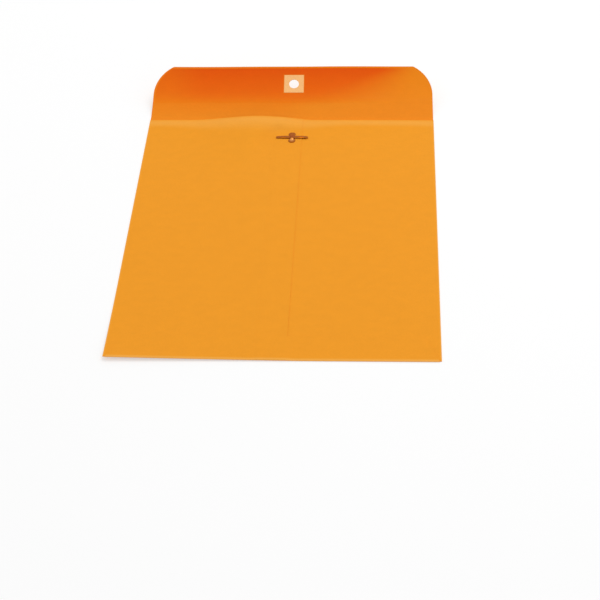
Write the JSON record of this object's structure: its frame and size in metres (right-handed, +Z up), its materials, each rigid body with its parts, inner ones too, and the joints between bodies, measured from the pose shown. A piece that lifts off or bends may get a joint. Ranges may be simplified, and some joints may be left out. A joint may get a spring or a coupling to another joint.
{
  "type": "clasp envelope",
  "caption": "Large kraft paper envelope with a centre seam, a raised gummed closing flap with a reinforced round hole, and a two-pronged bendable metal clasp.",
  "frame": {"origin": "middle of the front panel's outer face, which lies on the table", "axes": "+X across the envelope, +Y along it to the closing flap, +Z up from the front panel through the back"},
  "size_m": [0.2286, 0.348, 0.0223],
  "materials": {
    "kraft": "matte golden kraft paper, smooth with faint fibres",
    "kraft_inside": "matte golden kraft paper, the flap's inner side",
    "gum": "satin film of dried reddish gum on the paper",
    "manila": "matte pale reinforcing paper",
    "glue": "dried pale paste film",
    "plated_steel": "dull brown plated sheet steel"
  },
  "bodies": {
    "envelope": {"front_panel": "kraft", "back_panel_left": "kraft", "back_panel_right": "kraft", "bottom_flap": "kraft", "seam_glue": "glue", "bottom_glue": "glue", "clasp_base": "plated_steel"},
    "flap": {"closure_flap": "kraft_inside", "seal_gum": "gum", "eyelet_patch": "manila"},
    "prong_left": {"clasp_prong_left": "plated_steel"},
    "prong_right": {"clasp_prong_right": "plated_steel"}
  },
  "joints": [
    {"name": "flap_fold", "type": "hinge", "parent": "envelope", "child": "flap", "pos_m": [0, 0.1524, 0.00268], "axis": [1, 0, 0], "range_deg": [-15, 152]},
    {"name": "left_prong_bend", "type": "hinge", "parent": "envelope", "child": "prong_left", "pos_m": [-0.0002, 0.12042, 0.00249], "axis": [0, 1, 0], "range_deg": [0, 90]},
    {"name": "right_prong_bend", "type": "hinge", "parent": "envelope", "child": "prong_right", "pos_m": [0.0038, 0.12042, 0.00249], "axis": [0, -1, 0], "range_deg": [0, 90]}
  ]
}
